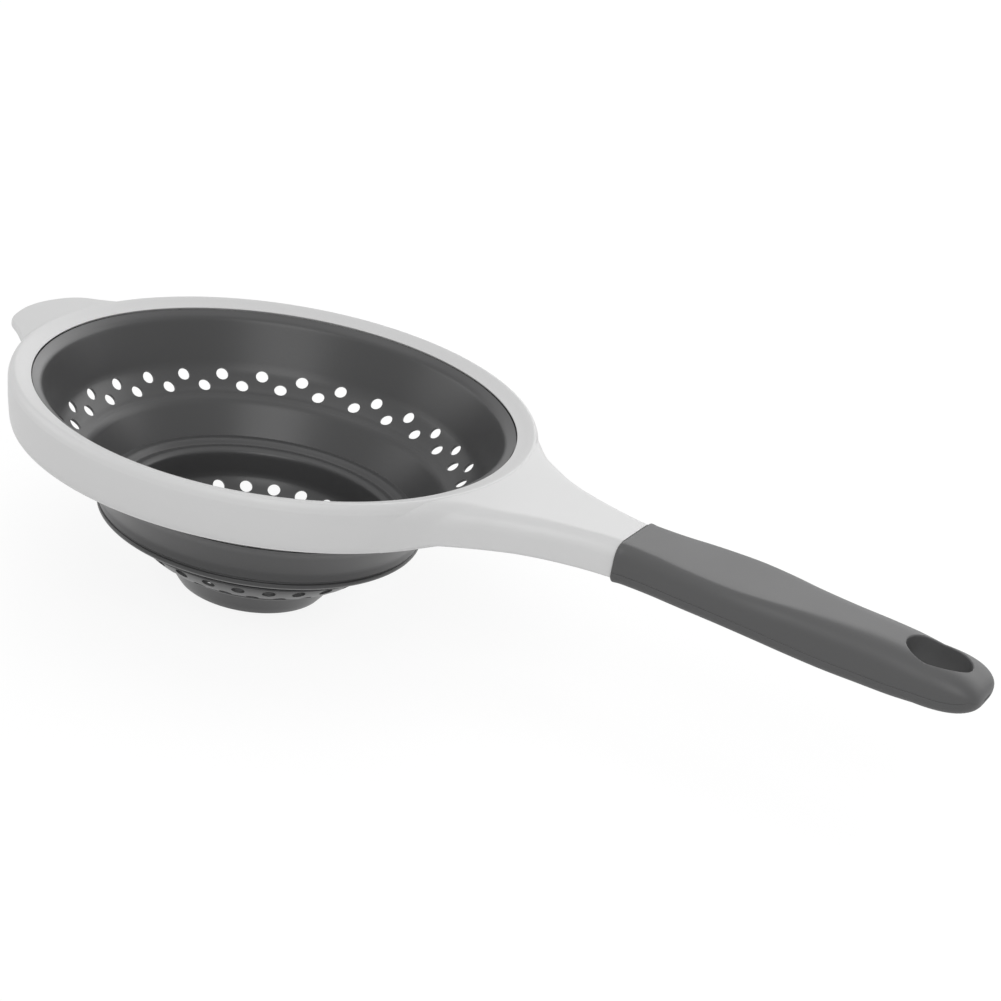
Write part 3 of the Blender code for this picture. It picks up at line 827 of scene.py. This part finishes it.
@dataclass
class HelperTab:
    """The flat tab opposite the handle."""

    ring: RingFrame
    reach: float = 16.0 * MM
    half_width: float = 31.2 * MM
    thickness: float = 2.6 * MM
    edge_round: float = 1.0 * MM
    edge_steps: int = 5
    arc_steps: int = 32
    outline_shares: Path = (
        (1.0, 0.0), (0.975, 0.16), (0.92, 0.305), (0.85, 0.423), (0.765, 0.532), (0.648, 0.628),
        (0.519, 0.702), (0.358, 0.76), (0.21, 0.814), (0.062, 0.875), (-0.074, 0.936), (-0.216, 1.0),
        (-0.36, 1.06), (-0.55, 1.135),
    )

    def outline(self, inset: float) -> list[Point]:
        """Return the tab's plan outline, closed by an arc inside the ring.

        Args:
            inset: How far the outer edge is moved inwards.

        Returns:
            Points (x, y) in order.
        """
        half = [
            (-(self.ring.outer_radius + self.reach * out), self.half_width * wide)
            for out, wide in curve_through(self.outline_shares)
        ]
        edge = inset_line([(x, -y) for x, y in reversed(half[1:])] + half, inset)
        x, y = edge[-1]
        radius, spread = math.hypot(x, y), math.atan2(y, -x)
        turns = [blended(spread, -spread, step / self.arc_steps) for step in range(1, self.arc_steps)]
        return edge + [(-radius * math.cos(turn), radius * math.sin(turn)) for turn in turns]

    def build(self, shop: Workshop) -> None:
        """Make the tab with rounded edges and fit it."""
        top = self.ring.opening_height
        loops = []
        for side in (1, -1):
            rows = []
            for sine, cosine in quarter_turn(self.edge_steps):
                inset, drop = self.edge_round * (1.0 - sine), self.edge_round * (1.0 - cosine)
                height = top - drop if side > 0 else top - self.thickness + drop
                rows.append(laid(self.outline(inset), height))
            loops += rows if side > 0 else rows[::-1]
        shop.fit(skinned("frame_tab", loops), Moulding.FRAME, Body.FRAME, "helper_tab")


@dataclass
class GripSleeve:
    """The soft grip, moulded over the tang, with the hang hole near its nose."""

    neck: HandleNeck
    clearance: float = 0.1 * MM
    end_gap: float = 0.3 * MM
    length: float = 129.2 * MM
    half_width: float = 17.8 * MM
    depth: float = 16.6 * MM
    front_corner: Point = mm(4.3, 6.2)
    back_corner: Point = mm(9.8, 7.4)
    lower_corner: Point = mm(4.0, 4.0)
    corner_steps: int = 12
    flat_pieces: int = 10
    corner_fullness: float = 2.4
    back_start_share: float = 0.3
    back_full_share: float = 0.8
    parting_depth: float = 0.16 * MM
    hole_end_wall: float = 6.5 * MM
    hole_length: float = 23.9 * MM
    hole_half_width: float = 9.6 * MM
    hole_round: float = 0.6 * MM
    hole_front_share: float = 0.43
    hole_points: int = 72
    rim_steps: int = 6
    rim_overlap_share: float = 0.4
    rim_sink: float = 0.02 * MM
    rim_sharp_angle: float = 60.0
    nose_steps: int = 18
    nose_tip_shares: Triple = (0.17, 0.60, 0.66)
    nose_squareness: Triple = (3.3, 2.5, 2.0)
    grip_shares: tuple[tuple[float, float, float, float], ...] = (
        (0.0, 0.825, 0.02, 0.855), (0.006, 0.838, -0.004, 0.872), (0.03, 0.815, -0.004, 0.863),
        (0.11, 0.857, 0.0, 0.839), (0.20, 0.95, 0.0, 0.813), (0.31, 0.998, 0.0, 0.811),
        (0.41, 0.946, 0.0, 0.871), (0.50, 0.858, 0.0, 0.952), (0.60, 0.811, 0.0, 1.0),
        (0.70, 0.796, 0.0, 1.0), (0.78, 0.797, 0.03, 0.99), (0.845, 0.792, 0.10, 0.957),
    )

    @property
    def start_x(self) -> float:
        """Where the grip begins."""
        return self.neck.end_x + self.clearance

    @property
    def end_x(self) -> float:
        """Where the grip's nose ends."""
        return self.neck.end_x + self.end_gap + self.length

    def shares(self) -> list[tuple[float, ...]]:
        """Return the grip's shares along its length, with the nose rounded off."""
        rows = curve_through(self.grip_shares, FINE_CURVE_STEPS)
        start_run, *starts = rows[-1]
        for along_nose, _ in quarter_turn(self.nose_steps)[1:]:
            row = [blended(start_run, 1.0, along_nose)]
            for start, tip, squareness in zip(starts, self.nose_tip_shares, self.nose_squareness):
                left = (1.0 - along_nose ** squareness) ** (1.0 / squareness)
                row.append(blended(tip, start, left))
            rows.append(tuple(row))
        return rows

    def sleeve(self) -> Object:
        """Make the grip's solid body, with the parting line along its sides."""
        top_height = self.neck.ring.opening_height
        loops = []
        for run, wide, high, low in self.shares():
            x = blended(self.start_x, self.end_x, run)
            top, bottom = top_height - self.depth * high, top_height - self.depth * low
            back = eased((run - self.back_start_share) / (self.back_full_share - self.back_start_share))
            upper = tuple(blended(*sizes, back) for sizes in zip(self.front_corner, self.back_corner))
            section = box_section(
                self.half_width * wide, top, bottom, upper, self.lower_corner, self.corner_steps,
                self.flat_pieces, self.parting_depth, self.corner_fullness,
            )
            loops.append(upright(section, x))
        return skinned("grip_sleeve", loops)

    def hole_outline(self, spare: float) -> list[Point]:
        """Draw the egg-shaped hang hole in plan.

        Args:
            spare: How much wider the outline is than the hole, on every side.

        Returns:
            Points (x, y) in order.
        """
        end_x = self.end_x - self.hole_end_wall
        front = self.hole_length * self.hole_front_share
        centre_x = end_x - self.hole_length + front
        points = []
        for step in range(self.hole_points):
            angle = math.tau * step / self.hole_points
            reach = front if math.cos(angle) < 0 else self.hole_length - front
            x = centre_x + (reach + spare) * math.cos(angle)
            points.append((x, (self.hole_half_width + spare) * math.sin(angle)))
        return points

    def hole_liner(self, solid: BVHTree) -> Object:
        """Make the hang hole's wall, with both rims rounded over.

        Args:
            solid: The uncut grip, for the heights of its faces.

        Returns:
            The liner, open at its rims.
        """
        far = self.neck.ring.opening_height * 2
        arc = [(-sine, 1.0 - cosine) for sine, cosine in quarter_turn(self.rim_steps)]
        profile = [(self.hole_round * out, self.hole_round * down) for out, down in arc]
        profile.insert(0, (self.hole_round * self.rim_overlap_share, self.rim_sink))
        loops = []
        for direction in (-1, 1):
            rows = []
            for spare, sink in profile:
                row = []
                for x, y in self.hole_outline(spare):
                    start = Vector((x, y, far if direction < 0 else -far))
                    hit, *_ = solid.ray_cast(start, Vector((0.0, 0.0, direction)))
                    row.append(Vector((x, y, hit.z + direction * sink)))
                rows.append(row)
            loops += rows if direction < 0 else rows[::-1]
        return skinned("hang_hole_liner", loops, Ends.OPEN, self.rim_sharp_angle)

    def build(self, shop: Workshop) -> None:
        """Make the grip, open its hang hole and fit it."""
        sleeve = self.sleeve()
        bm = bmesh.new()
        bm.from_mesh(sleeve.data)
        solid = BVHTree.FromBMesh(bm)
        bm.free()
        liner = self.hole_liner(solid)
        heights = (0.0, self.neck.ring.opening_height * 2)
        carve(sleeve, skinned("hang_hole_cutter", [laid(self.hole_outline(0.0), z) for z in heights]))
        joined(sleeve, liner)
        shop.fit(sleeve, Moulding.GRIP, Body.FRAME, "grip")


@dataclass
class SiliconeBowl:
    """The folding bowl: stiff walls between two thin bands with holes."""

    ring: RingFrame
    clearance: float = 0.3 * MM
    wall: float = 2.0 * MM
    band: float = 0.9 * MM
    flange: float = 2.5 * MM
    soft: float = 1.2 * MM
    hole_diameter: float = 4.9 * MM
    hole_lean: float = 47.0
    base_hole_diameter: float = 4.5 * MM
    base_hole_pitch: float = 9.3 * MM
    base_circle_pitch: float = 8.9 * MM
    hole_drill_depth: float = 5.4 * MM
    base_drill_depth: float = 7.2 * MM
    segments: int = 240
    shoulder_top: Point = mm(87.6, 74.2)
    shoulder_end: Point = mm(83.4, 70.6)
    upper_band: FoldBand = FoldBand(
        "band_upper", "upper_fold_band", (Body.FRAME, Body.MIDDLE), mm(77.5, 54.5), mm(66.9, 46.4), 30, 0.0,
    )
    ledge_end: Point = mm(65.0, 44.6)
    middle_wall_end: Point = mm(58.1, 33.2)
    fold_ring_end: Point = mm(48.3, 31.2)
    lower_band: FoldBand = FoldBand(
        "band_lower", "lower_fold_band", (Body.MIDDLE, Body.FOOT), mm(47.4, 21.4), mm(32.6, 10.8), 26, 11.8,
    )
    cup_end: Point = mm(26.7, 1.8)
    crease_soft: float = 2.4 * MM
    band_soft: float = 1.3 * MM
    bead_height: float = 1.1 * MM
    hem_corners: Sequence[Triple] = (
        mm(50.9, 28.6, 1.2), mm(56.4, 28.6, 0.6), mm(56.7, 26.6, 0.5), mm(58.9, 26.6, 0.6),
        mm(60.1, 27.7, 0.6), mm(60.2, 29.0, 0.5), mm(59.5, 29.3, 0.2), mm(59.5, 29.7, 0.2),
        mm(60.1, 30.1, 0.4),
    )
    lip_corners: Sequence[Triple] = (
        mm(50.3, 21.4, 0.2), mm(51.3, 21.8, 0.25), mm(51.2, 22.4, 0.25), mm(50.1, 23.2, 0.4),
    )
    foot_corners: Sequence[Triple] = (mm(26.1, 0.0, 0.4), mm(27.1, 0.5, 0.5), mm(28.7, 2.6, 1.2))
    brow_drop: float = 0.8 * MM
    brow_step: float = 1.9 * MM
    shoulder_shares: Path = ((0.0, 0.0), (0.35, 0.19), (0.67, 0.41), (0.88, 0.68), (1.0, 1.0))
    band_shares: Path = ((0.0, 0.0), (0.17, 0.30), (0.51, 0.70), (1.0, 1.0))
    inner_band_shares: Path = (*band_shares[:-1], (0.66, 0.84), (1.0, 1.0))
    bead_shares: Path = (
        (0.0, 0.42), (0.05, 0.44), (0.12, 0.62), (0.21, 0.82), (0.30, 0.78), (0.39, 0.42), (0.46, 0.0),
        (0.52, -0.16), (0.58, -0.02), (0.66, 0.24), (0.74, 0.36), (0.82, 0.30),
    )

    def soft_band(self, band: FoldBand) -> list[Triple]:
        """Return the inner corners of a fold band, softest at its two creases."""
        corners = [(*point, self.band_soft) for point in along(band.top, band.end, self.inner_band_shares)]
        return [(*band.top, self.crease_soft), *corners[1:-1], (*band.end, self.crease_soft)]

    def upper_inside(self) -> list[Point]:
        """Return the inner face from the shoulder down to the middle wall's end, as one soft curve."""
        shoulder = along(self.shoulder_top, self.shoulder_end, curve_through(self.shoulder_shares))
        rest = softened((
            (*shoulder[-2], 0.0), (*self.shoulder_end, self.crease_soft),
            *self.soft_band(self.upper_band),
            (*self.ledge_end, self.soft), (*self.middle_wall_end, 0.0),
        ))
        return shoulder[:-2] + rest

    def lower_inside(self, start: Point | None = None) -> list[Point]:
        """Return the inner face from the fold ring down to the foot cup's floor, as one soft curve.

        Args:
            start: Where the curve leaves the fold ring's bead; without it, it starts at the ring's edge.

        Returns:
            Points (radius, height) from the top down.
        """
        edge = (*self.fold_ring_end, 0.0 if start is None else self.crease_soft)
        return softened((
            *(() if start is None else ((*start, 0.0),)), edge,
            *self.soft_band(self.lower_band),
            (*self.cup_end, self.soft), (0.0, self.cup_end[1], 0.0),
        ))

    def rim_outline(self) -> list[Point]:
        """Return the section of the flange, the shoulder and the upper wall."""
        inside = stretch_of(self.upper_inside(), self.shoulder_top[1], self.upper_band.top[1])
        flange_top = self.ring.opening_height - self.ring.lip - self.clearance
        flange_bottom = flange_top - self.flange
        flange_radius = self.ring.outer_radius - self.ring.wall - self.clearance * 2
        (r0, z0), (r1, z1) = outside_of((self.shoulder_end, self.upper_band.top), self.wall)
        outer_top = blended(r1, r0, (flange_bottom - z1) / (z0 - z1))
        rest = softened((
            (*inside[-1], 0.0), (r1, z1, 0.0),
            (outer_top, flange_bottom, self.soft), (flange_radius, flange_bottom, self.clearance),
            (flange_radius, flange_top, self.clearance), (self.shoulder_top[0], flange_top, 0.0),
        ))
        return inside[:-1] + rest

    def band_outside(self, band: FoldBand) -> list[Point]:
        """Return a fold band's outer face, from the top down."""
        shares = curve_through(self.band_shares, FINE_CURVE_STEPS)
        return outside_of(along(band.top, band.end, shares), self.band)

    def band_drills(self, band: FoldBand) -> Object:
        """Make the cutters for a band's two staggered rows of holes, which lie at its bends.

        Args:
            band: The fold band.

        Returns:
            The cutters as one object.
        """
        lean = Matrix.Rotation(-math.radians(self.hole_lean), 4, "Y")
        places = []
        for row, (radius, height) in enumerate(along(band.top, band.end, self.band_shares[1:-1])):
            out = Matrix.Translation((radius, 0.0, height))
            for index in range(band.row_count):
                angle = band.row_start + 360.0 / band.row_count * (index + 0.5 * (row + 1))
                places.append(Matrix.Rotation(math.radians(angle), 4, "Z") @ out @ lean)
        return drill_bits(f"{band.name}_drills", places, self.hole_diameter / 2, self.hole_drill_depth)

    def middle_outline(self) -> list[Point]:
        """Return the section of the ledge, the middle wall, the fold ring and the lower wall."""
        start, end = self.middle_wall_end, self.fold_ring_end
        ledge = stretch_of(self.upper_inside(), self.upper_band.end[1], start[1])
        bead = [
            (blended(start[0], end[0], across), blended(start[1], end[1], across) + self.bead_height * rise)
            for across, rise in curve_through(self.bead_shares)
        ]
        crease = self.lower_band.top[1]
        inside = self.lower_inside(bead[-1])
        wall = [point for point in inside if point[1] > crease]
        outside = outside_of((self.upper_band.end, self.ledge_end, start), self.wall)
        rest = softened((
            (radius_on(inside, crease), crease, 0.0), *self.lip_corners, *self.hem_corners,
            (*outside[2], self.soft), (*outside[1], self.soft * 2), (*outside[0], 0.0),
        ))
        return ledge[:-1] + bead + wall[1:] + rest

    def foot_outline(self) -> list[Point]:
        """Return the section of the foot cup, closed on the axis."""
        inside = [point for point in self.lower_inside() if point[1] < self.lower_band.end[1]]
        brow, height = self.band_outside(self.lower_band)[-1]
        outside = softened((
            (0.0, 0.0, 0.0), *self.foot_corners,
            (brow - self.brow_step, height - self.brow_drop * 2, self.brow_drop),
            (brow, height - self.brow_drop, self.brow_drop), (brow, height, 0.0),
        ))
        return [(radius_on(self.lower_inside(), height), height), *inside, *outside]

    def base_drills(self) -> Object:
        """Make the cutters for the drain holes of the foot, on as many circles as it has room for."""
        places = []
        radius = self.base_hole_diameter / 2
        for circle in range(1, int((self.cup_end[0] - radius) / self.base_circle_pitch) + 1):
            count = int(math.tau * self.base_circle_pitch * circle / self.base_hole_pitch)
            out = Matrix.Translation((self.base_circle_pitch * circle, 0.0, 0.0))
            places += [Matrix.Rotation(math.tau * index / count, 4, "Z") @ out for index in range(count)]
        return drill_bits("base_drills", places, radius, self.base_drill_depth)

    def build(self, shop: Workshop) -> None:
        """Make the bowl's walls and bands, and fit them."""
        rim = turned("bowl_rim", self.rim_outline(), self.segments)
        shop.fit(rim, Moulding.BOWL, Body.FRAME, "bowl_rim_wall")
        middle = turned("bowl_middle", self.middle_outline(), self.segments)
        shop.fit(middle, Moulding.BOWL, Body.MIDDLE, "bowl_middle_wall", "bowl_lower_wall")
        foot = turned("bowl_foot", self.foot_outline(), self.segments)
        carve(foot, self.base_drills())
        shop.fit(foot, Moulding.BOWL, Body.FOOT, "bowl_foot_cup")
        insides = (self.upper_inside(), self.lower_inside())
        for band, inside in zip((self.upper_band, self.lower_band), insides):
            outline = stretch_of(inside, band.top[1], band.end[1]) + self.band_outside(band)[::-1]
            item = turned(band.name, outline, self.segments)
            carve(item, self.band_drills(band))
            shop.stretch(item, Moulding.BOWL, band)


@dataclass
class SoftBox:
    """A flat lamp that lights the object softly."""

    name: str
    place: Triple
    width: float
    height: float
    power: float

    def build(self, target: Vector) -> None:
        """Hang the lamp and turn it to the target."""
        lamp = bpy.data.lights.new(self.name, "AREA")
        lamp.shape = "RECTANGLE"
        lamp.size = self.width
        lamp.size_y = self.height
        lamp.energy = self.power
        item = linked(self.name, lamp)
        item.location = self.place
        item.rotation_euler = (target - item.location).to_track_quat("-Z", "Y").to_euler()


@dataclass
class Studio:
    """The camera, the white floor, the sky and the lamps."""

    camera_place: Triple = (0.410676, -0.696993, 0.397484)
    camera_angles: Triple = (66.32888, -10.00567, 28.74841)
    lens_mm: float = 86.1465
    sensor_mm: float = 36.0
    clip_start: float = 10.0 * MM
    sky_strength: float = 0.42
    floor_radius: float = 4.0
    floor_drop: float = 0.2 * MM
    floor_segments: int = 96
    floor_tone: float = 0.80
    shadow_tone: float = 0.17
    backdrop_strength: float = 0.87
    target: Triple = (0.06, 0.0, 0.06)
    lamps: tuple[SoftBox, ...] = (
        SoftBox("back_softbox", (0.25, 1.5, 0.8), 2.2, 1.0, 11.2),
        SoftBox("left_softbox", (-1.2, -0.5, 0.25), 0.9, 0.9, 3.5),
        SoftBox("fill_softbox", (0.6, -1.0, 0.9), 1.0, 1.0, 7.6),
        SoftBox("top_softbox", (-0.2, 0.0, 1.5), 1.2, 1.2, 3.0),
    )

    def build(self) -> None:
        """Set the whole studio up."""
        self.build_camera()
        self.build_sky()
        self.build_floor()
        for lamp in self.lamps:
            lamp.build(Vector(self.target))
        bpy.context.scene.view_settings.view_transform = "Standard"

    def build_camera(self) -> None:
        """Set the camera where the picture was taken from."""
        camera = bpy.data.cameras.new("camera")
        camera.lens = self.lens_mm
        camera.sensor_width = self.sensor_mm
        camera.sensor_fit = "HORIZONTAL"
        camera.clip_start = self.clip_start
        item = linked("camera", camera)
        item.location = self.camera_place
        item.rotation_euler = tuple(math.radians(angle) for angle in self.camera_angles)
        bpy.context.scene.camera = item

    def build_sky(self) -> None:
        """Fill the room with plain white light."""
        world = bpy.data.worlds.new("studio sky")
        world.use_nodes = True
        background = world.node_tree.nodes["Background"]
        background.inputs["Color"].default_value = (1.0, 1.0, 1.0, 1.0)
        write = NodeWriter(world.node_tree)
        seen = background_rays(write)
        lit = write.sum("MULTIPLY", seen, 1.0 - self.sky_strength)
        write.join(write.sum("ADD", lit, self.sky_strength), background.inputs["Strength"])
        bpy.context.scene.world = world

    def build_floor(self) -> None:
        """Lay the white floor, which keeps the object's shadow."""
        bm = bmesh.new()
        bmesh.ops.create_circle(bm, cap_ends=True, segments=self.floor_segments, radius=self.floor_radius)
        floor = new_object("floor", bm)
        floor.location.z = -self.floor_drop
        material = bpy.data.materials.new("white floor")
        material.use_nodes = True
        tree = material.node_tree
        write = NodeWriter(tree)
        tree.nodes.remove(tree.nodes["Principled BSDF"])
        paint = write.add("ShaderNodeBsdfDiffuse", Color=(self.floor_tone,) * 3 + (1.0,))
        veil = write.add("ShaderNodeBsdfDiffuse", Color=(self.shadow_tone,) * 3 + (1.0,))
        glow = write.add("ShaderNodeEmission", Strength=self.backdrop_strength)
        shown = write.add("ShaderNodeAddShader")
        mix = write.add("ShaderNodeMixShader")
        for source, target in (
            (veil.outputs[0], shown.inputs[0]), (glow.outputs[0], shown.inputs[1]),
            (background_rays(write), mix.inputs[0]), (paint.outputs[0], mix.inputs[1]),
            (shown.outputs[0], mix.inputs[2]), (mix.outputs[0], tree.nodes["Material Output"].inputs[0]),
        ):
            write.join(source, target)
        floor.data.materials.append(material)


def background_rays(write: NodeWriter) -> NodeSocket:
    """Return 1 for rays that show the background, straight or in a reflection, else 0."""
    path = write.add("ShaderNodeLightPath")
    glossy = write.sum("MAXIMUM", path.outputs["Is Camera Ray"], path.outputs["Is Glossy Ray"])
    return write.sum("MAXIMUM", glossy, path.outputs["Is Transmission Ray"])


def main() -> None:
    """Build the colander's pieces in order, then the studio."""
    logging.basicConfig(level=logging.INFO, format="%(name)s: %(message)s")
    shop = Workshop()
    ring = RingFrame()
    neck = HandleNeck(ring)
    for assembly in (ring, neck, HelperTab(ring), GripSleeve(neck), SiliconeBowl(ring)):
        assembly.build(shop)
    Studio().build()


if __name__ == "__main__":
    main()
